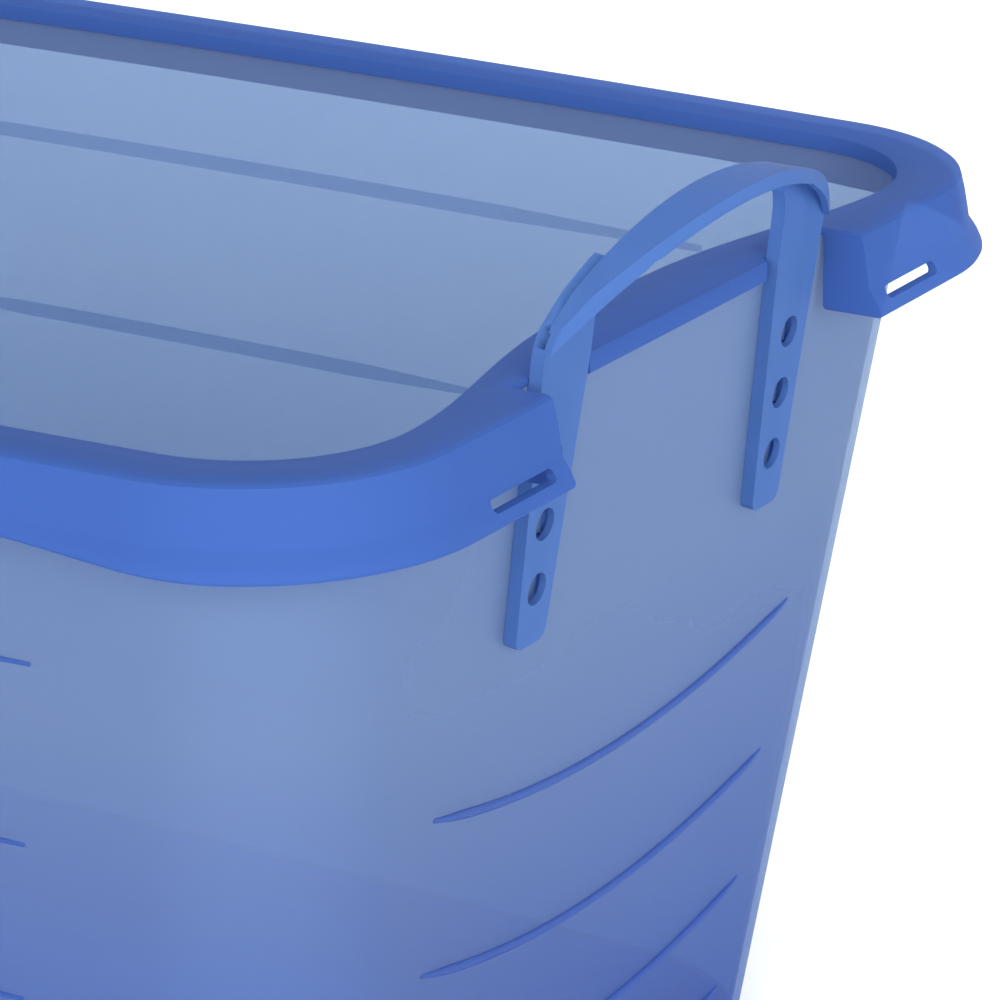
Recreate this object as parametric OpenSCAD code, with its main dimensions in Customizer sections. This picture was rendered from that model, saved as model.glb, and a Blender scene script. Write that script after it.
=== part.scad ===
// Deep under-bed storage box: a clear tub, a rim frame snapped over its edge, and at each end
// a carrying handle that slides up and down along the leaning end wall.
// Origin: middle of the base. X runs along the box, Z up. The handles are drawn pulled up.

/* [Box] */
// Length over the rim at the end flanges
box_l = 598; // [540:1:660]
// Width over the rim's top, where the long sides meet the corners
box_w = 393; // [350:1:440]
// Height from the base to the top of the rim
box_h = 272; // [240:1:320]
// Angle between a long side and X where the side meets a corner (sets the bulge)
side_lean = 2.9; // [1:0.1:4]

/* [Tub] */
// Thickness of the walls
wall_t = 2.2; // [1.6:0.1:2.8]
// Thickness of the floor
floor_t = 2.6; // [2:0.1:4]
// Lean of the walls, inward going down (degrees)
draft = 7.5; // [5:0.5:9]
// Radius of the upright corners, outside
tub_corner_r = 50; // [40:1:60]
// Radius where the walls turn into the floor, outside
base_r = 9; // [6:0.5:14]
// How far the tub's top edge stands out under the rim
bead_out = 2.4; // [1.5:0.1:3]
// Height of that thickened edge
bead_h = 2.6; // [2:0.1:4]
// Height of the moulded ribs
rib_h = 2.6; // [1.5:0.1:4]
// How far the ribs stand out from the wall
rib_out = 0.8; // [0.4:0.1:1.2]

/* [Rim frame] */
// Thickness of the rim's top band
band_t = 2.2; // [1.8:0.1:3]
// Radius of the rim's corners at its top outer edge
rim_corner_r = 61; // [50:1:72]
// Width of the band from its outer edge to its inner edge, at the ends
band_w = 18; // [15:0.5:22]
// How far the band reaches further inward in the middle of each end
shelf_w = 16.8; // [8:0.2:22]
// Height of the skirt below the band's top
skirt_h = 16.5; // [12:0.5:22]
// Height of the brim below the skirt at the corners
brim_h = 7; // [4:0.5:9]
// How far the brim stands out past the band at the corners
brim_out = 6.5; // [3:0.5:8]
// Thickness of the skirt, brim and lips
skirt_t = 1.9; // [1.4:0.1:2.4]
// Half of the gap between the two corner flanges at an end
gap_half = 86.5; // [84:0.5:92]
// Half length of the lip in the middle of an end
lip_half = 49.3; // [46:0.1:50]
// Height of that lip
lip_h = 6.2; // [4:0.2:9]
// Length of the window in each corner flange
window_l = 31; // [20:1:32]
// Height of that window
window_h = 3.4; // [2.5:0.1:4]

/* [Handle] */
// Half width of the handle over its legs, at the rim
grip_half = 77.5; // [76:0.1:79]
// Height of the handle's top above the rim when pulled up
grip_rise = 37.5; // [33:0.5:42]
// How far the grip stands out in the middle
grip_out = 15; // [10:0.5:17]
// Radius of the arch seen from the end
arch_r = 137; // [128:1:150]
// Reach of the legs below the rim when pulled up
leg_drop = 79.5; // [76:0.5:84]
// Width of a leg at the rim
leg_w_top = 25; // [23:0.5:26]
// Width of a leg at its bottom
leg_w_end = 15.5; // [15:0.5:17]
// Depth of a leg, front to back
leg_d = 4; // [3.6:0.1:4.6]
// Thickness of the handle's walls
grip_t = 2; // [1.6:0.1:2.2]
// Diameter of the holes in a leg
hole_d = 9.3; // [7:0.1:10]
// Distance between those holes
hole_pitch = 18.9; // [18:0.1:20]
// Distance of the first hole below the rim's top
hole_first = 25.1; // [24:0.1:27]
// How far the handle slides
slide_l = 37; // [33:0.5:38]

/* [Fits] */
// Gap between the legs and the wall they slide on
leg_gap = 0.3; // [0.2:0.05:0.5]
// Gap between a guide key and its channel
key_gap = 0.25; // [0.15:0.05:0.4]
// Gap between the tub's edge and the rim
rim_gap = 0.3; // [0.2:0.05:0.5]

/* [Hidden] */
$fn = 96;
eps = 0.01;

// Lean of the walls as a slope
slope = tan(draft);
// How far the plate that closes each corner flange stands proud of the skirt
plate_proud = 0.1;
// Rim band: half length and half width of its outer and inner edges
band_end = box_l / 2 - brim_out - plate_proud;
band_side = box_w / 2;
inner_end = band_end - band_w;
inner_side = band_side - band_w - skirt_t;
// Tub: half length and half width of its top outer edge. Its inner face stands lip_room
// outside the band's inner edge, so that the rim's inner lip drops down inside it.
lip_room = 2.1;
tub_end = inner_end + lip_room + wall_t;
tub_side = inner_side + lip_room + wall_t;
tub_top = box_h - band_t;
inner_r = tub_corner_r - wall_t - lip_room;
// How far a piece sinks into the one that it grows out of
sink = 0.5;
// Points along a round corner and along a long side
corner_n = 10;
side_n = 12;

// A closed plan: flat ends, round corners and gently bulged long sides.
// ex and sy are the half length and the half width where the corners start, r the corner radius.
function plan_bulge(xj, lean) = xj * tan(lean) / 2;
function plan_quarter(ex, sy, r) = [for (k = [0:corner_n])
    let (a = (90 - side_lean) * k / corner_n) [ex - r + r * cos(a), sy - r + r * sin(a)]];
function plan_side(ex, sy, r) =
    let (q = plan_quarter(ex, sy, r)[corner_n], b = plan_bulge(q.x, side_lean))
    [for (k = [1:side_n - 1]) let (x = q.x * (1 - 2 * k / side_n)) [x, q.y + b * (1 - pow(x / q.x, 2))]];
function reversed(p) = [for (k = [len(p) - 1:-1:0]) p[k]];
function flipped(p, sx, sy) = [for (v = p) [v.x * sx, v.y * sy]];
function plan_half(ex, sy, r) = let (q = plan_quarter(ex, sy, r))
    concat(q, plan_side(ex, sy, r), flipped(reversed(q), -1, 1));
function plan(ex, sy, r) = let (h = plan_half(ex, sy, r)) concat(h, flipped(h, -1, -1));

// ---- tub ----
function tub_inset(z) = (tub_top - z) * slope;
// One ring of the tub at height z, moved inward by d from the wall's outer face
function tub_ring(z, d) = let (o = tub_inset(z) + d)
    [for (v = plan(tub_end - o, tub_side - o, tub_corner_r - d)) [v.x, v.y, z]];
bend_n = 5;
base_bend = [for (k = [0:bend_n]) let (a = 90 * k / bend_n) [base_r * (1 - sin(a)), base_r * (1 - cos(a))]];
bowl_r = base_r - wall_t;
bowl_bend = [for (k = [bend_n:-1:0]) let (a = 90 * k / bend_n)
    [floor_t + bowl_r * (1 - sin(a)), wall_t + bowl_r * (1 - cos(a))]];

module lofted(rings) {
    n = len(rings[0]);
    m = len(rings);
    sides = [for (j = [0:m - 2], i = [0:n - 1]) let (i2 = (i + 1) % n)
        each [[j * n + i, (j + 1) * n + i2, j * n + i2], [j * n + i, (j + 1) * n + i, (j + 1) * n + i2]]];
    caps = [[for (i = [0:n - 1]) i], [for (i = [n - 1:-1:0]) (m - 1) * n + i]];
    polyhedron([for (r = rings) each r], concat(sides, caps), convexity = 8);
}

module tub_solid() {
    lofted(concat([for (k = [bend_n:-1:0]) tub_ring(base_bend[k][0], base_bend[k][1])],
        [tub_ring(tub_top, 0)]));
}
module tub_hollow() {
    lofted(concat([for (b = bowl_bend) tub_ring(b[0], b[1])],
        [tub_ring(tub_top + 1, wall_t)]));
}

// The tub's thickened top edge, left out where the handles slide
bead_stop = gap_half + 3;
module tub_bead() {
    difference() {
        translate([0, 0, tub_top - bead_h]) linear_extrude(bead_h) difference() {
            polygon(plan(tub_end + bead_out, tub_side + bead_out, tub_corner_r + bead_out));
            polygon(plan(tub_end - wall_t / 2, tub_side - wall_t / 2, tub_corner_r - wall_t / 2));
        }
        for (s = [0, 1]) mirror([s, 0, 0]) translate([tub_end - wall_t, -bead_stop, tub_top - bead_h - 1])
            cube([wall_t + 2 * bead_out, 2 * bead_stop, bead_h + 2]);
    }
}

// Ribs on the end walls hang in shallow arcs, closer together towards the floor.
rib_n = 4;
rib_drop = 120.5;
rib_foot_z = 25.4;
rib_ratio = 0.868;
rib_end_gap = 16;
rib_gap_step = 2.2;
rib_sag = 12.6;
function rib_share(k) = (1 - pow(rib_ratio, k)) / (1 - pow(rib_ratio, rib_n - 1));
function end_rib_z(k) = box_h - rib_drop - (box_h - rib_drop - rib_foot_z) * rib_share(k);
function end_rib_half(k) = tub_side - tub_inset(end_rib_z(k)) - tub_corner_r - rib_end_gap + rib_gap_step * k;
module end_rib(z, half) {
    r = (half * half + rib_sag * rib_sag) / (2 * rib_sag);
    reach = 1.2 * r;
    spread = reach * half / (r - rib_sag);
    translate([tub_end - tub_inset(z), 0, z]) rotate([0, draft, 0]) rotate([90, 0, 90])
        translate([0, r - rib_sag, -sink]) linear_extrude(rib_out + sink) intersection() {
            difference() {
                circle(r + rib_h / 2, $fn = 256);
                circle(r - rib_h / 2, $fn = 256);
            }
            polygon([[0, 0], [-spread, -reach], [spread, -reach]]);
        }
}
// Level ribs on the long walls: [drop below the rim's top, gap before the corner, height]
back_ribs = [[43, 36, 4.5], [102, 108, 4.5]];
front_ribs = [[66.4, 35.5, rib_h], [121.6, 37.5, rib_h], [170.2, 38, rib_h]];
function corner_start(ex, sy, r) = plan_quarter(ex, sy, r)[corner_n];
// Y of a bulged long side at x, where q is the point at which its corner starts
function side_y(q, x) = q.y + plan_bulge(q.x, side_lean) * (1 - pow(x / q.x, 2));
module side_rib(drop, gap, h) {
    z = box_h - drop - h / 2;
    o = tub_inset(z);
    q = corner_start(tub_end - o, tub_side - o, tub_corner_r);
    xs = [for (k = [0:side_n]) (q.x - gap) * (1 - 2 * k / side_n)];
    translate([0, 0, z]) linear_extrude(h) polygon(concat(
        [for (x = xs) [x, side_y(q, x) + rib_out]],
        reversed([for (x = xs) [x, side_y(q, x) - wall_t / 2]])));
}

// The legs taper more on their outer edge, which brings their middle line inward at the bottom
leg_shift = 0.9;
leg_mid = grip_half - leg_w_top / 2 + leg_shift;
// Height on a leg, up the wall from the rim's top, where its rails end
rail_top = 15;
// Guide keys behind each leg: short dovetails moulded on the end wall between the places of the holes.
// The lower stop inside a leg comes up under the lower key, the upper one down onto the upper key.
key_root = 4.6;
key_face = 5.3;
key_rest = 0.5;
stop_t = 1.8;
function hole_z(k) = -hole_first - k * hole_pitch;
stop_low = (hole_z(1) + hole_z(2)) / 2 - stop_t / 2;
key_top = hole_z(0) - hole_d / 2 - key_rest;
stop_high = key_top + slide_l + key_gap;
// [lower end, upper end] of each key
keys = [[stop_low + stop_t + key_gap, hole_z(1) - hole_d / 2 - key_rest],
    [hole_z(1) + hole_d / 2 + key_rest, key_top]];
key_d = leg_d + leg_gap - grip_t - key_gap;
function key_half(z) = key_root + (key_face - key_root) * z / key_d;
// Places its children in the plane of an end wall: X across, Y up the wall from the rim's top, Z out
module on_end_wall(lift = 0) {
    translate([tub_end + (box_h - tub_top) * slope, 0, box_h]) rotate([0, draft, 0])
        rotate([90, 0, 90]) translate([0, 0, lift]) children();
}
module guide_key(side) {
    for (k = keys) on_end_wall() translate([side * leg_mid, k[0], 0]) rotate([-90, 0, 0]) mirror([0, 1, 0])
        linear_extrude(k[1] - k[0]) polygon([
            [-key_root, -sink], [key_root, -sink], [key_root, 0], [key_face, key_d],
            [-key_face, key_d], [-key_root, 0]]);
}

module tub() {
    color([0.47, 0.57, 0.75, 0.5]) union() {
        difference() {
            tub_solid();
            tub_hollow();
        }
        tub_bead();
        for (s = [0, 1]) mirror([s, 0, 0]) {
            for (k = [0:rib_n - 1]) end_rib(end_rib_z(k), end_rib_half(k));
            for (side = [-1, 1]) guide_key(side);
        }
        for (r = back_ribs) side_rib(r[0], r[1], r[2]);
        mirror([0, 1, 0]) for (r = front_ribs) side_rib(r[0], r[1], r[2]);
    }
}

// ---- rim frame ----
// X of the end wall's plane and of the legs' front face at the rim's top
channel_x = tub_end + (box_h - tub_top) * slope;
leg_face_x = channel_x + (leg_gap + leg_d) / cos(draft);
lip_x = leg_face_x - leg_d / 2;

// Inner edge of the band, moved outward by d. It swells inward in a soft wave across each end.
shelf_n = 20;
shelf_power = 1.35;
function shelf_wave(s) = (1 + cos(180 * pow(s, shelf_power))) / 2;
function inner_edge(d = 0) = let (h = plan_half(inner_end + d, inner_side + d, inner_r + d), y0 = h[0].y,
    w = [for (k = [1:shelf_n - 1]) let (y = y0 * (1 - 2 * k / shelf_n))
        [inner_end + d - shelf_w * shelf_wave(abs(y) / y0), y]])
    concat(h, flipped(w, -1, 1), flipped(h, -1, -1), reversed(w));

module band_plan() {
    difference() {
        polygon(plan(band_end, band_side, rim_corner_r));
        polygon(inner_edge());
        for (s = [0, 1]) mirror([s, 0, 0]) translate([tub_end, -gap_half])
            square([2 * band_w, 2 * gap_half]);
    }
    for (s = [0, 1]) mirror([s, 0, 0]) translate([tub_end - sink, -lip_half])
        square([lip_x - tub_end + sink, 2 * lip_half]);
}

// Skirt and brim: one open sweep along each long side and round its two corners.
// The brim is shallow along the side and deepens towards the end.
brim_h_side = 3.5;
foot_round = 0.8;
brim_out_side = 3;
skirt_out = 2.5;
skirt_out_side = 1.8;
brim_from = 110;
brim_grow = 76;
function brim_share(x) = let (t = min(1, max(0, (abs(x) - band_end + brim_from) / brim_grow)))
    t * t * (3 - 2 * t);
function mixed(a, b, t) = a + (b - a) * t;
edge_step = 0.3;
plate_t = 2;
skirt_path = let (h = plan_half(band_end, band_side, rim_corner_r))
    concat([[band_end, gap_half + plate_t / 2]], h, [[-band_end, gap_half + plate_t / 2]]);
function path_dir(p, i) = let (a = p[max(0, i - 1)], b = p[min(len(p) - 1, i + 1)], d = b - a) d / norm(d);
function skirt_section(x) = let (t = brim_share(x), s = mixed(skirt_out_side, skirt_out, t),
    o = mixed(brim_out_side, brim_out, t), z1 = -skirt_h, z2 = -skirt_h - mixed(brim_h_side, brim_h, t))
    [[-edge_step, -band_t / 2], [s, z1], [o - foot_round / 3, z2 + foot_round], [o, z2], [o - foot_round / 2, z2 - foot_round],
     [o - skirt_t, z2 - foot_round], [s - skirt_t, z1 - foot_round], [-skirt_t, -band_t / 2]];
module skirt() {
    p = skirt_path;
    rings = [for (i = [0:len(p) - 1]) let (d = path_dir(p, i), n = [d.y, -d.x])
        [for (q = skirt_section(p[i].x)) [p[i].x + n.x * q[0], p[i].y + n.y * q[0], box_h + q[1]]]];
    lofted(rings);
}

// Upright plate that closes each corner flange beside the handle. It stands slightly proud of the skirt.
plate_gap = 0.6;
module return_plate() {
    x0 = channel_x + plate_gap;
    x1 = band_end + plate_proud;
    edge = skirt_section(band_end);
    foot = edge[4][1] - plate_proud;
    translate([0, gap_half + plate_t, box_h]) rotate([90, 0, 0]) linear_extrude(plate_t)
        polygon(concat([[x0, -band_t / 2]], [for (k = [0:3]) [x1 + edge[k][0], edge[k][1]]],
            [[x1 + edge[4][0], foot], [x0, foot]]));
}

// Lip that drops down inside the tub's edge, all the way round
edge_lip_h = 5.2;
edge_lip_t = 1.2;
module edge_lip() {
    translate([0, 0, box_h - edge_lip_h]) linear_extrude(edge_lip_h - band_t + sink) difference() {
        polygon(inner_edge(edge_lip_t));
        polygon(inner_edge());
    }
}
// Snap hooks that catch under the tub's thickened edge, drawn with that edge's wall at X = 0
hook_l = 14;
hook_t = 1.7;
hook_catch = 1.2;
hook_tip_h = 2.4;
hook_xs = [-150, 0, 150];
hook_y = gap_half + 20;
module snap_hook() {
    inner = bead_out + rim_gap;
    catch_z = -band_t - bead_h - rim_gap;
    rotate([90, 0, 90]) translate([0, 0, -hook_l / 2]) linear_extrude(hook_l) polygon([
        [inner, sink - band_t], [inner + hook_t, sink - band_t], [inner + hook_t, catch_z - hook_tip_h],
        [bead_out - hook_catch, catch_z - hook_tip_h / 2], [bead_out - hook_catch, catch_z],
        [inner, catch_z]]);
}
module snap_hooks() {
    q = corner_start(tub_end, tub_side, tub_corner_r);
    for (s = [0, 1], x = hook_xs) mirror([0, s, 0]) translate([x, side_y(q, x) + eps, box_h]) snap_hook();
    for (sx = [0, 1], sy = [0, 1]) mirror([sx, 0, 0]) mirror([0, sy, 0])
        translate([tub_end, hook_y, box_h]) rotate([0, 0, -90]) snap_hook();
}

// Window through the foot of each corner flange
window_gap = 7;
window_z = -18.6;
module flange_window() {
    translate([inner_end, gap_half + window_gap + window_h / 2, box_h + window_z])
        rotate([0, 90, 0]) linear_extrude(2 * band_w) {
            for (y = [0, window_l - window_h]) translate([0, y]) circle(d = window_h);
            translate([-window_h / 2, 0]) square([window_h, window_l - window_h]);
        }
}

module rim_frame() {
    color([0.27, 0.40, 0.72, 0.9]) difference() {
        union() {
            translate([0, 0, box_h - band_t]) linear_extrude(band_t) band_plan();
            edge_lip();
            snap_hooks();
            for (s = [0, 1]) mirror([0, s, 0]) skirt();
            for (sx = [0, 1], sy = [0, 1]) mirror([sx, 0, 0]) mirror([0, sy, 0]) return_plate();
            for (s = [0, 1]) mirror([s, 0, 0]) translate([lip_x - skirt_t, -lip_half, box_h - lip_h])
                cube([skirt_t, 2 * lip_half, lip_h - band_t + sink]);
        }
        for (sx = [0, 1], sy = [0, 1]) mirror([sx, 0, 0]) mirror([0, sy, 0]) flange_window();
    }
}

// ---- handle, pulled up ----
// Seen from the end: Y across, Z up from the rim's top.
// The arch's outer circle, and the flatter one of its opening, which leaves a strip at the top
arch_mid = grip_rise - arch_r;
strip_h = 4;
hand_r = arch_r - 11;
hand_mid = grip_rise - strip_h - hand_r;
leg_in_top = grip_half - leg_w_top;
leg_out_end = leg_mid + leg_w_end / 2;
leg_in_end = leg_mid - leg_w_end / 2;
toe_r = 3;
arc_n = 24;
// Outer edge of the handle, moved inward by d
function arch_z(y, d) = arch_mid + sqrt(pow(arch_r - d, 2) - y * y);
shoulder = 12;
function half_outer(d) = let (w = grip_half - d, y1 = w - shoulder, z1 = arch_z(y1, d) - 1.25 * shoulder)
    concat([for (k = [0:arc_n]) let (y = y1 * k / arc_n) [y, arch_z(y, d)]],
        [for (a = [60:-15:0]) [y1 + shoulder * cos(a), z1 + shoulder * sin(a)]],
        [[leg_out_end - d, -leg_drop + toe_r], [leg_out_end - d - toe_r * 0.3, -leg_drop + toe_r * 0.3 + d],
         [leg_out_end - toe_r, -leg_drop + d]]);
// Edge of the opening, from the leg's foot up to the middle of the arch, moved outward by d
fillet = 11;
function hand_z(y, d) = hand_mid + sqrt(pow(hand_r + d, 2) - y * y);
function half_inner(d) = let (w = leg_in_top + d, y1 = w - fillet, z1 = hand_z(y1, d))
    concat([[leg_in_end + toe_r, -leg_drop + d], [leg_in_end + toe_r * 0.3 + d, -leg_drop + toe_r * 0.3 + d],
        [leg_in_end + d, -leg_drop + toe_r], [w, 0]],
        [for (a = [0:15:75]) [y1 + fillet * cos(a), z1 - fillet * 1.35 * (1 - sin(a))]],
        [for (k = [arc_n:-1:0]) let (y = y1 * k / arc_n) [y, hand_z(y, d)]]);
function with_mirror(p) = concat(p, [for (k = [len(p) - 2:-1:1]) [-p[k].x, p[k].y]]);
// Whole face of the handle, and the same face with its edges moved in by d
module handle_face(d = 0) {
    half = concat(half_outer(d), half_inner(d));
    polygon(half);
    mirror([1, 0]) polygon(half);
}
// Both legs, up to where they run into the arch. They stay clear of the rim's lip when pushed down.
legs_from = lip_half + 2 * rim_gap;
module legs_only() {
    intersection() {
        children();
        for (m = [0, 1]) mirror([m, 0]) translate([legs_from, -leg_drop - 1])
            square([grip_half - legs_from + 1, leg_drop + grip_rise + 2]);
    }
}
// Both legs: a front plate with a rim round its edge, leaning with the wall
module leg_plates() {
    on_end_wall(leg_gap + leg_d - grip_t) linear_extrude(grip_t) legs_only() handle_face();
    on_end_wall(leg_gap) linear_extrude(leg_d) legs_only() difference() {
        handle_face();
        handle_face(grip_t);
    }
}
// Dovetail rails on the back of a leg, which ride on the wall's guide key, and their end stops
rail_t = 2.4;
module leg_rails(side) {
    z0 = leg_gap + key_gap;
    z1 = leg_gap + leg_d - grip_t + eps;
    on_end_wall() translate([side * leg_mid, 0, 0]) {
        for (m = [0, 1]) mirror([m, 0, 0]) translate([0, stop_low, 0]) rotate([-90, 0, 0]) mirror([0, 1, 0])
            linear_extrude(rail_top - stop_low) polygon([
                [key_half(z0) + key_gap, z0], [key_root + key_gap + rail_t, z0],
                [key_root + key_gap + rail_t, z1], [key_half(z1) + key_gap, z1]]);
        for (z = [stop_low, stop_high]) translate([-key_face - key_gap - sink, z, z0])
            cube([2 * (key_face + key_gap + sink), stop_t, z1 - z0]);
    }
}
module leg_holes() {
    for (side = [-1, 1], k = [0:2]) on_end_wall(leg_gap - 1)
        translate([side * leg_mid, hole_z(k), 0])
            cylinder(d = hole_d, h = leg_d + 2, $fn = 64);
}
// The grip: a level arched ledge that swells outward, with a shallow front strip.
// In plan it lies between two arcs; back_x is the rear edge and front_x the front one, at the middle.
back_x = leg_face_x + grip_rise * slope + leg_gap;
front_x = back_x + grip_out;
back_r = 625;
front_r = 180;
module above_rim(from) {
    translate([0, 0, box_h]) rotate([90, 0, 90]) linear_extrude(box_l)
        intersection() {
            children();
            translate([-grip_half - 1, from]) square([2 * grip_half + 2, grip_rise + 2]);
        }
}
module plan_zone(r_out, x_out) {
    translate([0, 0, box_h - 1]) linear_extrude(grip_rise + 3) intersection() {
        translate([x_out - r_out, 0]) circle(r_out, $fn = 360);
        translate([channel_x, -grip_half - 1]) square([2 * band_w + grip_rise, 2 * grip_half + 2]);
    }
}
ledge_from = 6;
module grip_ledge() {
    difference() {
        intersection() {
            above_rim(ledge_from) difference() {
                handle_face();
                translate([0, arch_mid]) circle(arch_r - grip_t, $fn = 360);
            }
            plan_zone(front_r, front_x);
        }
        plan_zone(back_r, back_x);
    }
}
module front_strip() {
    difference() {
        intersection() {
            above_rim(ledge_from) difference() {
                handle_face();
                translate([0, hand_mid]) circle(hand_r, $fn = 360);
            }
            plan_zone(front_r, front_x);
        }
        plan_zone(front_r - grip_t, front_x - grip_t);
    }
}
module handle() {
    color([0.30, 0.44, 0.74, 0.9]) difference() {
        union() {
            leg_plates();
            for (side = [-1, 1]) leg_rails(side);
            grip_ledge();
            front_strip();
        }
        leg_holes();
    }
}
module handle_right() { handle(); }
module handle_left() { mirror([1, 0, 0]) handle(); }

tub();
rim_frame();
handle_right();
handle_left();
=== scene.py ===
"""Under bed box: a clear tub, a blue rim frame snapped over its edge and a sliding handle at each end.

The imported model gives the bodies, the overall sizes and the handles' places. The tub and the rim frame
are lofted here again with finer corners, rounded edges and their small moulded details, and the handles
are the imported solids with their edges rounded. Lengths are in millimetres until a mesh is made.
"""

import math

import bmesh
import bpy
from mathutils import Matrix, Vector


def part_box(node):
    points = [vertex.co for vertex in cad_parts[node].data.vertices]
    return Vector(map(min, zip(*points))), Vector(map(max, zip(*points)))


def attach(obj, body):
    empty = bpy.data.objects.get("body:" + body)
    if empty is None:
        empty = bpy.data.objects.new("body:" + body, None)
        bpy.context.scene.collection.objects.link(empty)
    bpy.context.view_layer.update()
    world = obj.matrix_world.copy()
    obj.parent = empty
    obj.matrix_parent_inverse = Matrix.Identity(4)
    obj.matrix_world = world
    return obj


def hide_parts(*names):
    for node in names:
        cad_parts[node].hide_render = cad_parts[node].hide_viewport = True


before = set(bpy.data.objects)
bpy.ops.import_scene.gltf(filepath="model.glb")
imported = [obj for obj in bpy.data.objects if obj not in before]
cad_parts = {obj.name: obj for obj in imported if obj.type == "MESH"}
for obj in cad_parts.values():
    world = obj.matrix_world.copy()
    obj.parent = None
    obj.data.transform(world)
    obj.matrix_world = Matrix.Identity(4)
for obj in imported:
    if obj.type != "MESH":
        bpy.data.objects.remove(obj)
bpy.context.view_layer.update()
MM = 0.001

# ---- driving sizes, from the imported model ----
rim_low, rim_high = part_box("rim_frame")
tub_low, tub_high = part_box("tub")
RIM_TOP = rim_high.z / MM
RIM_END = rim_high.x / MM
TUB_TOP = tub_high.z / MM
BAND_T = RIM_TOP - TUB_TOP
BRIM_OUT = 6.5
BAND_END = RIM_END - BRIM_OUT
BAND_W = 18.0
WALL_T = 2.2
FLOOR_T = 2.6
LIP_ROOM = 2.1
SKIRT_T = 1.9
SKIRT_H = 16.5
BRIM_H = 7.0
SIDE_LEAN = math.radians(2.9)
DRAFT = math.radians(7.5)
SLOPE = math.tan(DRAFT)
TUB_R = 50.0
RIM_R = 61.0
BASE_R = 9.0
BEAD_OUT = 2.4
BEAD_H = 2.6
GAP_HALF = 86.5
LIP_HALF = 49.3
LIP_H = 6.2
SHELF_W = 16.8
CORNER_N = 28
SIDE_N = 40

# The side bulges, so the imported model's width is at its middle. The corners start lower by the bulge.
BRIM_OUT_SIDE = 3.0
CORNER_RUN = math.sin(SIDE_LEAN) * RIM_R


def bulge(x_corner):
    return x_corner * math.tan(SIDE_LEAN) / 2


BAND_SIDE = rim_high.y / MM - BRIM_OUT_SIDE - bulge(BAND_END - RIM_R + CORNER_RUN)
INNER_END = BAND_END - BAND_W
INNER_SIDE = BAND_SIDE - BAND_W - SKIRT_T
INNER_R = TUB_R - WALL_T - LIP_ROOM
TUB_END = INNER_END + LIP_ROOM + WALL_T
TUB_SIDE = INNER_SIDE + LIP_ROOM + WALL_T


# ---- plans and sections ----
def quarter(end, side, r):
    """The round corner of a plan, from the flat end to where the bulged side starts."""
    sweep = math.pi / 2 - SIDE_LEAN
    turns = [sweep * k / CORNER_N for k in range(CORNER_N + 1)]
    return [(end - r + r * math.cos(a), side - r + r * math.sin(a)) for a in turns]


def side_at(corner, x):
    """Y of the bulged side at x, where corner is the point at which its round corner starts."""
    return corner[1] + bulge(corner[0]) * (1 - (x / corner[0]) ** 2)


def half_plan(end, side, r):
    """A plan from the flat end at +X, over the side at +Y, to the flat end at -X."""
    q = quarter(end, side, r)
    x0 = q[-1][0]
    xs = [x0 * (1 - 2 * k / SIDE_N) for k in range(1, SIDE_N)]
    return q + [(x, side_at(q[-1], x)) for x in xs] + [(-x, y) for x, y in reversed(q)]


def tub_plan(end, side, r, end_ys):
    """The tub's whole plan. The same heights end_ys are marked on both flat ends."""
    h = half_plan(end, side, r)
    left = [(-end, y) for y in end_ys]
    return h + left + [(-x, -y) for x, y in h] + [(-x, -y) for x, y in left]


def loft(mesh, rings, closed_ends=True, wrap=False):
    """Faces between rings that each go once round. wrap joins the last ring to the first."""
    rows = [[mesh.verts.new(p) for p in ring] for ring in rings]
    n = len(rows[0])
    pairs = list(zip(rows, rows[1:])) + ([(rows[-1], rows[0])] if wrap else [])
    for a, b in pairs:
        for i in range(n):
            j = (i + 1) % n
            mesh.faces.new((a[i], a[j], b[j], b[i]))
    if closed_ends and not wrap:
        mesh.faces.new(list(reversed(rows[0])))
        mesh.faces.new(rows[-1])


SAME_POINT = 0.002
SHARP_EDGE = math.radians(32)


def piece(name, mesh, body, plastics, stands_for):
    """Turns a bmesh in millimetres into an object that rides on a body."""
    bmesh.ops.remove_doubles(mesh, verts=mesh.verts, dist=SAME_POINT)
    bmesh.ops.recalc_face_normals(mesh, faces=mesh.faces)
    bmesh.ops.scale(mesh, vec=(MM, MM, MM), verts=mesh.verts)
    data = bpy.data.meshes.new(name)
    mesh.to_mesh(data)
    mesh.free()
    data.shade_smooth()
    data.set_sharp_from_angle(angle=SHARP_EDGE)
    made = bpy.data.objects.new(name, data)
    bpy.context.scene.collection.objects.link(made)
    for plastic in plastics:
        made.data.materials.append(plastic)
    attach(made, body)
    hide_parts(stands_for)
    return made


# ---- materials ----
def linear(hex_colour):
    """sRGB hex to the linear colour that shaders take."""
    parts = [int(hex_colour[i : i + 2], 16) / 255 for i in (1, 3, 5)]
    return tuple(c / 12.92 if c <= 0.04045 else ((c + 0.055) / 1.055) ** 2.4 for c in parts) + (1.0,)


def add(tree, kind, links=None, **settings):
    """Adds a shader node and returns its first output. links joins its inputs, by name or number, to other
    nodes' outputs. settings sets its fields, and the inputs that carry a name."""
    node = tree.nodes.new(kind)
    for key, value in settings.items():
        if key in node.inputs:
            node.inputs[key].default_value = value
        elif key.replace("_", " ") in node.inputs:
            node.inputs[key.replace("_", " ")].default_value = value
        else:
            setattr(node, key, value)
    for key, source in (links or {}).items():
        tree.links.new(source, node.inputs[key])
    return node.outputs[0] if node.outputs else node


# Height at which the tub's walls start to turn deeper blue, a painted stand-in for the floor showing through
# them
DEEPER_BELOW = 190


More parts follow.
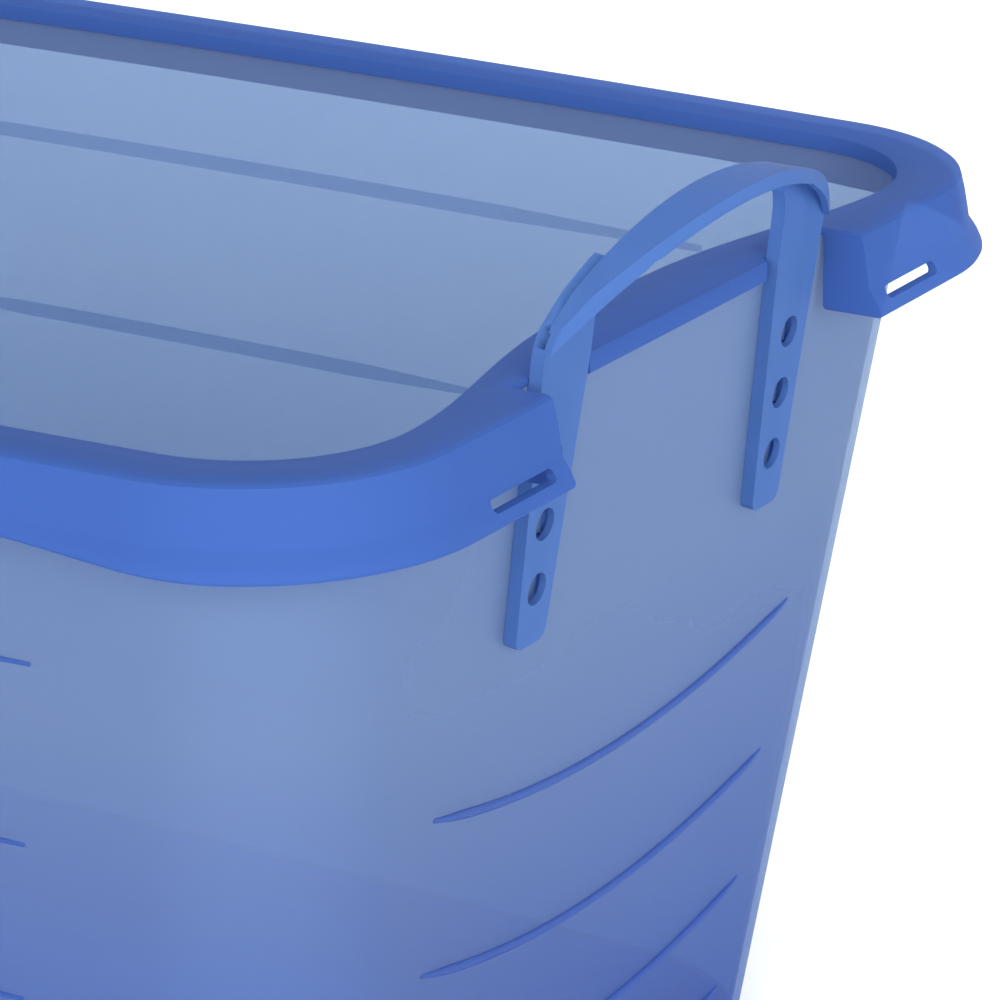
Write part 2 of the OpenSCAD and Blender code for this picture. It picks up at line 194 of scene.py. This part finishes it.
def moulded_plastic(name, colour, deep_colour, tint, solid, roughness, gloss=0.25, painted_see_through_colour=None):
    """Injection-moulded polypropylene with pigment: one face lets a tinted share of the light straight
    through and scatters the rest, so thin walls read as frosted and double walls as deeper blue.

    solid is the share of the light that one face stops. painted_see_through_colour, where given, is a painted
    deeper blue that the walls turn to on the way down. It stands in for the floor showing through them, and
    is not a pigment."""
    made = bpy.data.materials.new(name)
    made.use_nodes = True
    tree = made.node_tree
    tree.nodes.clear()
    place = add(tree, "ShaderNodeTexCoord").node.outputs["Object"]
    # Faint clouds of flow, 120 mm across, and the mould's grain: 0.1 mm on the real one, 1.5 mm here to show
    clouds = add(tree, "ShaderNodeTexNoise", {"Vector": place}, Scale=1000 / 120, Detail=2.0)
    grain = add(tree, "ShaderNodeTexNoise", {"Vector": place}, Scale=1000 / 1.5, Detail=1.0)
    pale, deep = linear(colour), linear(deep_colour)
    shade = add(tree, "ShaderNodeMixRGB", {"Fac": clouds}, Color1=pale, Color2=deep)
    # Painted deeper blue towards the bottom, standing in for the floor showing through the walls
    if painted_see_through_colour:
        parts = add(tree, "ShaderNodeSeparateXYZ", {"Vector": place}).node
        down = {"From_Min": DEEPER_BELOW * MM, "From_Max": FLOOR_T * MM, "To_Max": 0.9}
        low = add(tree, "ShaderNodeMapRange", {"Value": parts.outputs["Z"]}, **down)
        shade = add(tree, "ShaderNodeMixRGB", {"Fac": low, "Color1": shade}, Color2=linear(painted_see_through_colour))
    smooth, coarse = roughness - 0.03, roughness + 0.05
    rough = add(tree, "ShaderNodeMapRange", {"Value": clouds}, To_Min=smooth, To_Max=coarse)
    bump = add(tree, "ShaderNodeBump", {"Height": grain}, Strength=0.05, Distance=0.00005)
    links = {"Base Color": shade, "Roughness": rough, "Normal": bump}
    body = add(tree, "ShaderNodeBsdfPrincipled", links, IOR=1.49, Specular_IOR_Level=gloss)
    clear = add(tree, "ShaderNodeBsdfTransparent", Color=linear(tint))
    least, most = solid - 0.02, solid + 0.02
    share = add(tree, "ShaderNodeMapRange", {"Value": clouds}, To_Min=least, To_Max=most)
    both = add(tree, "ShaderNodeMixShader", {0: share, 1: clear, 2: body})
    add(tree, "ShaderNodeOutputMaterial", {"Surface": both})
    return made


# Polypropylene for the tub: moulded with little pigment, frosted blue-grey and softly glossy. Its walls get a
# painted deeper blue towards the bottom, standing in for the floor showing through
clear_polypropylene = moulded_plastic(
    "clear_polypropylene", "#7E94BA", "#788EB6", "#BCCCDE", 0.36, 0.36, painted_see_through_colour="#345EB8"
)
# The same where the moulding is thicker: ribs and guide keys hold more pigment
thick_polypropylene = moulded_plastic("thick_polypropylene", "#4468B4", "#3E62B0", "#B0C2E8", 0.40, 0.36)
# The broad ribs of the far wall are low and barely deeper than the wall
faint_polypropylene = moulded_plastic("faint_polypropylene", "#7490C4", "#6E8AC0", "#E2EAF6", 0.10, 0.36)
# The tub's floor: the same polypropylene with painted shade, drawn deeper, darker and more solid so that it
# shows through the walls
floor_polypropylene_painted_shade = moulded_plastic("floor_polypropylene_painted_shade", "#1E48B0", "#1A42AA", "#7C98DC", 0.85, 0.36)
# Polypropylene for the frame: more blue pigment, matt, still lets some light through
blue_polypropylene = moulded_plastic(
    "blue_polypropylene", "#4060A4", "#3C5CA0", "#94B0E0", 0.66, 0.5, gloss=0.02
)
# Polypropylene for the handles: a matched blue, a little paler than the frame
handle_polypropylene = moulded_plastic(
    "handle_polypropylene", "#5478B4", "#4E72B0", "#9CB6E0", 0.55, 0.45, gloss=0.04
)


# ---- tub ----
# Heights marked on the flat ends, where the thickened edge stops beside the handle
BEAD_STOP = GAP_HALF + 3
END_YS = [BEAD_STOP + 0.1, BEAD_STOP, 60, 30, 0, -30, -60, -BEAD_STOP, -BEAD_STOP - 0.1]


def tub_inset(z):
    return (TUB_TOP - z) * SLOPE


def tub_ring(z, inward, bead=False):
    """The tub's plan at height z, moved inward from its outer face. A bead keeps off the handles' channel."""
    o = tub_inset(z) + inward
    ring = tub_plan(TUB_END - o, TUB_SIDE - o, TUB_R - inward, END_YS)
    if bead:
        wall_x = TUB_END - tub_inset(z)
        ring = [(math.copysign(wall_x, p[0]), p[1]) if on_channel(p) else p for p in ring]
    return [(x, y, z) for x, y in ring]


def on_channel(p):
    return abs(p[1]) <= BEAD_STOP + 0.01 and abs(p[0]) > TUB_END - 20


def bend(r, steps=8):
    """Quarter bend from the wall into the floor: (height, distance inward) pairs, floor first."""
    turns = [math.pi / 2 * (1 - k / steps) for k in range(steps + 1)]
    return [(r * (1 - math.sin(a)), r * (1 - math.cos(a))) for a in turns]


def tub_rings():
    outer = [tub_ring(z, d) for z, d in bend(BASE_R)]
    foot = TUB_TOP - BEAD_H
    edge = [tub_ring(foot, 0), tub_ring(foot + 0.2, -BEAD_OUT + 0.3, True)]
    edge += [tub_ring(foot + 0.6, -BEAD_OUT, True)]
    edge += [tub_ring(TUB_TOP - 0.5, -BEAD_OUT, True), tub_ring(TUB_TOP, -BEAD_OUT + 0.5, True)]
    edge += [tub_ring(TUB_TOP, WALL_T - 0.6), tub_ring(TUB_TOP - 0.6, WALL_T)]
    inner = [tub_ring(FLOOR_T + z, WALL_T + d) for z, d in reversed(bend(BASE_R - WALL_T))]
    return outer + edge + inner


def strip(mesh, path, outs, ups, half_h, out, taper=4):
    """A moulded rib: a low rounded bar along path. Its height fades over the last few points."""
    rings = []
    last = len(path) - 1
    for i, (p, n, u) in enumerate(zip(path, outs, ups)):
        k = min(1.0, 0.45 + 0.55 * min(i, last - i) / taper)
        h = half_h * k
        w = out * min(1.0, 0.3 + 0.7 * min(i, last - i) / 2)
        shape = [(-h, -0.4), (-h, w * 0.5), (-h * 0.6, w), (h * 0.6, w), (h, w * 0.5), (h, -0.4)]
        rings.append([tuple(p[c] + u[c] * a + n[c] * b for c in range(3)) for a, b in shape])
    loft(mesh, rings)


RIB_OUT = 0.8
WALL_OUT = math.cos(DRAFT)
WALL_UP = math.sin(DRAFT)
# End ribs hang in arcs. Each row: height of its ends, half length
END_RIBS = [(151.5, 99.5), (103.3, 96.0), (61.7, 93.0), (25.4, 90.0)]
RIB_SAG = 12.6
# Level ribs. Each row: height, half length, rib height, how far it stands out
BACK_RIBS = [(229, 190, 4.6, 0.8), (170, 110, 4.6, 0.8), (96, 120, 1.2, 0.4), (56, 128, 1.2, 0.4)]
FRONT_RIBS = [(205.6, 187, 2.6, 0.8), (150.4, 178, 2.6, 0.8), (101.8, 171, 2.6, 0.8)]


def end_rib(mesh, z_end, half, sign):
    steps = 48
    path, outs, ups = [], [], []
    for k in range(steps + 1):
        y = half * (2 * k / steps - 1)
        z = z_end - RIB_SAG * (1 - (y / half) ** 2)
        tilt = math.atan(2 * RIB_SAG * y / half**2)
        path.append((sign * (TUB_END - tub_inset(z)), y, z))
        outs.append((sign * WALL_OUT, 0, -WALL_UP))
        ups.append((sign * WALL_UP * math.cos(tilt), -math.sin(tilt), math.cos(tilt)))
    strip(mesh, path, outs, ups, 1.3, RIB_OUT)


def side_rib(mesh, z, half, height, out, sign):
    steps = 40
    o = tub_inset(z)
    corner = quarter(TUB_END - o, TUB_SIDE - o, TUB_R)[-1]
    xs = [half * (2 * k / steps - 1) for k in range(steps + 1)]
    path = [(x, sign * side_at(corner, x), z) for x in xs]
    outs = [(0, sign * WALL_OUT, -WALL_UP)] * len(path)
    ups = [(0, sign * WALL_UP, WALL_OUT)] * len(path)
    strip(mesh, path, outs, ups, height / 2, out, taper=8)


# Guide keys behind the handles' legs: [across, out from the wall], and their reach up the wall
LEG_MID = 65.9
KEY_SHAPE = [(-4.6, -0.5), (4.6, -0.5), (4.6, 0), (5.3, 2.05), (-5.3, 2.05), (-4.6, 0)]
KEYS = [(-52.3, -49.15), (-38.85, -30.25)]


def guide_key(mesh, y_mid, sign):
    base = TUB_END + BAND_T * SLOPE
    for ends in KEYS:
        rings = []
        for s in ends:
            ring = []
            for a, b in KEY_SHAPE:
                x = base + b * WALL_OUT + s * WALL_UP
                ring.append((sign * x, y_mid + a, RIM_TOP - b * WALL_UP + s * WALL_OUT))
            rings.append(ring)
        loft(mesh, rings)


# Places of the tub's plastics in its list
WALL, THICK, FLOOR, FAINT = range(4)


def make_tub():
    mesh = bmesh.new()
    loft(mesh, tub_rings())
    shell_faces = set(mesh.faces)
    for sign in (1, -1):
        for z, half in END_RIBS:
            end_rib(mesh, z, half, sign)
        for side in (1, -1):
            guide_key(mesh, side * LEG_MID, sign)
    for rib in FRONT_RIBS:
        side_rib(mesh, *rib, -1)
    for face in mesh.faces:
        flat = all(v.co.z < BASE_R / 2 for v in face.verts)
        face.material_index = THICK if face not in shell_faces else FLOOR if flat else WALL
    finished_faces = set(mesh.faces)
    for rib in BACK_RIBS:
        side_rib(mesh, *rib, 1)
    for face in mesh.faces:
        if face not in finished_faces:
            face.material_index = FAINT
    plastics = [clear_polypropylene, thick_polypropylene, floor_polypropylene_painted_shade, faint_polypropylene]
    return piece("clear_tub", mesh, "box", plastics, "tub")


# ---- rim frame ----
def smooth_step(t):
    t = min(1.0, max(0.0, t))
    return t * t * (3 - 2 * t)


def brim_share(x):
    """How much of its full size the brim has: all at the corners and ends, little along the sides."""
    return smooth_step((abs(x) - BAND_END + 110) / 76)


# The skirt is thicker between two small steps near each corner of the long sides
PAD_FROM, PAD_TO, PAD_EASE, PAD_OUT = 195.0, 208.0, 1.5, 0.7


def pad_out(x):
    x = abs(x)
    return PAD_OUT * smooth_step((x - PAD_FROM) / PAD_EASE) * smooth_step((PAD_TO - x) / PAD_EASE)


def mix(a, b, t):
    return a + (b - a) * t


def rim_section(x):
    """Section of the frame as three lists of (across, up) pairs, which together go once round. The first and
    last are measured from the inner edge, the second from the outer edge, and all of them outward."""
    t = brim_share(x)
    pad = pad_out(x)
    s = mix(1.8, 2.5, t) + pad
    o = mix(BRIM_OUT_SIDE, BRIM_OUT, t)
    z1 = -SKIRT_H
    z2 = z1 - mix(3.5, BRIM_H, t)
    inner = [(0, -5.2), (0, -1.4), (0.35, -0.5), (1.2, 0)]
    outer = [(-3.0, 0), (-1.6, -0.25), (-0.55, -1.0), (-0.1, -2.4)]
    outer += [(mix(0, s, 0.35) + pad * 0.3, -6.5), (mix(0, s, 0.7), -11.5)]
    outer += [(s - 0.1, z1 + 0.8), (s + 0.5, z1 - 0.3), (mix(s, o, 0.55) + 0.5, mix(z1, z2, 0.5))]
    outer += [(o - 0.1, z2 + 1.0), (o, z2 + 0.3), (o - 0.4, z2 - 0.5), (o - 1.1, z2 - 0.8)]
    # Back up the inner face
    outer += [(o - SKIRT_T, z2 - 0.4), (mix(s, o, 0.5) - SKIRT_T, mix(z1, z2, 0.5) - 0.6)]
    outer += [(s - SKIRT_T, z1 - 0.8), (mix(0, s, 0.5) - SKIRT_T, -9)]
    outer += [(-SKIRT_T - 0.2, -3.4), (-SKIRT_T - 1.3, -BAND_T)]
    under = [(2.4, -BAND_T), (1.2, -3.2), (1.2, -5.2)]
    return inner, outer, under


def ring_at(inner_pt, outer_pt, normal, section):
    """One section of the frame set between its inner and outer edges."""
    gap = [outer_pt[c] - inner_pt[c] for c in (0, 1)]
    length = math.hypot(*gap)
    across = [g / length for g in gap]
    first, outer, under = section

    def placed(start, way, pairs):
        return [(start[0] + way[0] * a, start[1] + way[1] * a, RIM_TOP + z) for a, z in pairs]

    skirt = placed(outer_pt, normal, outer)
    return placed(inner_pt, across, first) + skirt + placed(inner_pt, across, under)


def normals_of(path):
    found = []
    for i in range(len(path)):
        a, b = path[max(0, i - 1)], path[min(len(path) - 1, i + 1)]
        dx, dy = b[0] - a[0], b[1] - a[1]
        length = math.hypot(dx, dy)
        found.append((dy / length, -dx / length))
    return found


def shelf_wave(share):
    return (1 + math.cos(math.pi * share**1.35)) / 2


def inner_end_x(y):
    """X of the inner edge across an end, where it swells inward under the hand."""
    return INNER_END - SHELF_W * shelf_wave(min(1.0, abs(y) / (INNER_SIDE - INNER_R)))


FLANGE_N = 14


def flange_rings(side):
    """Sections of the frame from one corner flange, along a long side, to the other corner flange."""
    inner = half_plan(INNER_END, INNER_SIDE, INNER_R)
    outer = half_plan(BAND_END, BAND_SIDE, RIM_R)
    y_in, y_out = INNER_SIDE - INNER_R, BAND_SIDE - RIM_R
    shares = [k / FLANGE_N for k in range(FLANGE_N)]
    ins = [mix(GAP_HALF, y_in, k) for k in shares]
    outs = [mix(GAP_HALF, y_out, k) for k in shares]
    flat_in = [(inner_end_x(y), y) for y in ins]
    flat_out = [(BAND_END, y) for y in outs]
    inner = flat_in + inner + [(-x, y) for x, y in reversed(flat_in)]
    outer = flat_out + outer + [(-x, y) for x, y in reversed(flat_out)]
    rings = []
    for i, o, n in zip(inner, outer, normals_of(outer)):
        ring = ring_at(i, o, n, rim_section(o[0]))
        rings.append([(x, side * y, z) for x, y, z in ring])
    return rings


# How far the front of a handle's leg stands off the wall, and the thickness of its front plate
LEG_FRONT, LEG_PLATE = 4.3, 2.0
# The lip's outer face is level with the back of that plate
LIP_X = TUB_END + BAND_T * SLOPE + LEG_FRONT / WALL_OUT - LEG_PLATE


def end_band_rings(sign):
    """Sections of the narrow band across an end, with the lip that hangs down in the middle."""
    ease = 0.6
    ys = [GAP_HALF, 75, 65, 57, LIP_HALF + ease, LIP_HALF, 40, 30, 20, 10]
    ys = ys + [0] + [-y for y in reversed(ys)]
    rings = []
    for y in ys:
        lip = abs(y) <= LIP_HALF
        x_out = LIP_X if lip else TUB_END + 0.1
        x_in = inner_end_x(y)
        drop = LIP_H if lip else BAND_T
        t = SKIRT_T if lip else 0.5
        shape = [(x_in, -5.2), (x_in, -1.4), (x_in + 0.35, -0.5), (x_in + 1.2, 0)]
        shape += [(x_out - 1.0, 0), (x_out - 0.3, -0.3), (x_out, -0.9), (x_out, -drop + 0.4)]
        shape += [(x_out - 0.3, -drop), (x_out - t, -drop), (x_out - t, -BAND_T)]
        shape += [(x_in + 2.4, -BAND_T), (x_in + 1.2, -3.2), (x_in + 1.2, -5.2)]
        rings.append([(sign * x, y, RIM_TOP + z) for x, z in shape])
    return rings


PLATE_T = 2.0


def return_plate_rings(sign, side):
    """The upright plate that closes a corner flange beside the handle."""
    x0 = TUB_END + 0.9
    _, outer, _ = rim_section(BAND_END)
    edge = [(BAND_END + a, z) for a, z in outer[3:13]]
    foot = edge[-1][1]
    shape = [(x0, -1.2), (BAND_END - 1.0, -1.2)] + edge + [(x0 + 0.8, foot), (x0, foot + 0.8)]
    rings = []
    for y, inset in ((GAP_HALF - 0.2, 0.35), (GAP_HALF, 0.1), (GAP_HALF + PLATE_T - 0.2, 0.1)):
        mid = (sum(p[0] for p in shape) / len(shape), sum(p[1] for p in shape) / len(shape))
        ring = []
        for x, z in shape:
            dx, dz = mid[0] - x, mid[1] - z
            d = math.hypot(dx, dz)
            ring.append((sign * (x + dx / d * inset), side * y, RIM_TOP + z + dz / d * inset))
        rings.append(ring)
    return rings


WINDOW_L, WINDOW_H, WINDOW_Z, WINDOW_FROM = 31.0, 3.4, -18.6, GAP_HALF + 7


def window_rings(sign, side):
    """A stadium-shaped bar that cuts the window through a corner flange."""
    r = WINDOW_H / 2
    turns = [math.pi * k / 10 for k in range(11)]
    right = [(WINDOW_FROM + WINDOW_L - r + r * math.sin(a), WINDOW_Z + r * math.cos(a)) for a in turns]
    left = [(WINDOW_FROM + r - r * math.sin(a), WINDOW_Z - r * math.cos(a)) for a in turns]
    shape = right + left
    return [[(sign * x, side * y, RIM_TOP + z) for y, z in shape] for x in (INNER_END + 4, RIM_END + 10)]


def solid_object(name, ring_sets):
    mesh = bmesh.new()
    for rings in ring_sets:
        loft(mesh, rings)
    bmesh.ops.recalc_face_normals(mesh, faces=mesh.faces)
    data = bpy.data.meshes.new(name)
    mesh.to_mesh(data)
    mesh.free()
    made = bpy.data.objects.new(name, data)
    bpy.context.scene.collection.objects.link(made)
    return made


def cut(target, tool, operation):
    """Applies one exact boolean to target and removes the tool."""
    step = target.modifiers.new("step", "BOOLEAN")
    step.operation = operation
    step.solver = "EXACT"
    step.use_self = True
    step.object = tool
    graph = bpy.context.evaluated_depsgraph_get()
    result = bpy.data.meshes.new_from_object(target.evaluated_get(graph))
    target.modifiers.clear()
    target.data = result
    bpy.data.objects.remove(tool)


def make_rim_frame():
    corners = [(sx, sy) for sx in (1, -1) for sy in (1, -1)]
    shell = solid_object("shell", [flange_rings(1), flange_rings(-1)])
    bands = solid_object("bands", [end_band_rings(1), end_band_rings(-1)])
    cut(shell, bands, "UNION")
    plates = solid_object("plates", [return_plate_rings(*c) for c in corners])
    cut(shell, plates, "UNION")
    windows = solid_object("windows", [window_rings(*c) for c in corners])
    cut(shell, windows, "DIFFERENCE")
    mesh = bmesh.new()
    mesh.from_mesh(shell.data)
    bpy.data.objects.remove(shell)
    return piece("blue_rim_frame", mesh, "box", [blue_polypropylene], "rim_frame")


# ---- handles ----
EDGE_ROUND = 0.35
# Points closer than this are one, edges flatter than FLAT go, and edges over CREASE are rounded
MERGE_WITHIN = 0.004
FLAT = math.radians(0.6)
CREASE = math.radians(35)


def make_handle(node):
    """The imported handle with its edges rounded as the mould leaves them."""
    mesh = bmesh.new()
    mesh.from_mesh(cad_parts[node].data)
    bmesh.ops.scale(mesh, vec=(1 / MM, 1 / MM, 1 / MM), verts=mesh.verts)
    bmesh.ops.remove_doubles(mesh, verts=mesh.verts, dist=MERGE_WITHIN)
    bmesh.ops.dissolve_limit(mesh, angle_limit=FLAT, verts=mesh.verts, edges=mesh.edges)
    sharp = [e for e in mesh.edges if len(e.link_faces) == 2 and e.calc_face_angle(0) > CREASE]
    bmesh.ops.bevel(
        mesh, geom=sharp, offset=EDGE_ROUND, offset_type="OFFSET", segments=2, profile=0.5,
        affect="EDGES", clamp_overlap=True,
    )
    return piece("carrying_" + node, mesh, node, [handle_polypropylene], node)


make_tub()
make_rim_frame()
for node_name in ("handle_right", "handle_left"):
    make_handle(node_name)


# ---- setting ----
def studio_material(name, hex_colour, roughness):
    made = bpy.data.materials.new(name)
    made.use_nodes = True
    shader = made.node_tree.nodes["Principled BSDF"]
    shader.inputs["Base Color"].default_value = linear(hex_colour)
    shader.inputs["Roughness"].default_value = roughness
    return made


def make_floor():
    """A plain pale sweep: floor that curves up into a backdrop far behind."""
    mesh = bmesh.new()
    half, back, height, r = 6000, 3500, 4000, 1200
    turns = [math.pi / 2 * k / 16 for k in range(17)]
    curve = [(back - r + r * math.sin(a), r - r * math.cos(a)) for a in turns]
    line = [(-half, 0)] + curve + [(back, height)]
    rows = [[mesh.verts.new((x, y, z)) for x in (-half, half)] for y, z in line]
    for a, b in zip(rows, rows[1:]):
        mesh.faces.new((a[0], a[1], b[1], b[0]))
    bmesh.ops.scale(mesh, vec=(MM, MM, MM), verts=mesh.verts)
    data = bpy.data.meshes.new("studio_sweep")
    mesh.to_mesh(data)
    mesh.free()
    data.shade_smooth()
    made = bpy.data.objects.new("studio_sweep", data)
    bpy.context.scene.collection.objects.link(made)
    data.materials.append(studio_material("pale_paper", "#F6F7F9", 0.9))


def soft_light(name, place, aim, size, power):
    data = bpy.data.lights.new(name, "AREA")
    data.shape = "RECTANGLE"
    data.size, data.size_y = size
    data.energy = power
    made = bpy.data.objects.new(name, data)
    bpy.context.scene.collection.objects.link(made)
    made.location = place
    way = [aim[c] - place[c] for c in range(3)]
    made.rotation_euler = Vector(way).to_track_quat("-Z", "Y").to_euler()


make_floor()
soft_light("key", (0.5, -2.6, 1.1), (0, 0, 0.15), (2.0, 1.4), 56)
soft_light("right_fill", (2.4, -1.2, 0.9), (0.2, 0, 0.15), (1.4, 1.2), 50)
soft_light("top", (0, 0.2, 2.6), (0, 0, 0), (2.0, 1.4), 8)
soft_light("backdrop_wash", (0, 1.2, 2.6), (0, 3.4, 0.8), (4.0, 1.0), 68)

# A white room that is brightest round the sides and dimmer overhead
world = bpy.data.worlds.new("studio")
world.use_nodes = True
room = world.node_tree
ways = add(room, "ShaderNodeTexCoord").node.outputs["Generated"]
up = add(room, "ShaderNodeSeparateXYZ", {"Vector": ways}).node.outputs["Z"]
strength = add(room, "ShaderNodeMapRange", {"Value": up}, From_Max=0.8, To_Min=1.0, To_Max=0.65)
room.links.new(strength, room.nodes["Background"].inputs["Strength"])
room.nodes["Background"].inputs["Color"].default_value = (1, 1, 1, 1)
bpy.context.scene.world = world
bpy.context.scene.view_settings.view_transform = "Standard"

# Camera beyond the front right corner, looking slightly down
camera_data = bpy.data.cameras.new("camera")
camera_data.lens = 188.07
camera_data.sensor_width = 36
camera_data.clip_end = 50
camera = bpy.data.objects.new("camera", camera_data)
bpy.context.scene.collection.objects.link(camera)
camera.location = (0.9429, -1.1899, 0.6907)
camera.rotation_euler = (math.radians(90 - 19.246), 0, math.radians(31.148))
bpy.context.scene.camera = camera
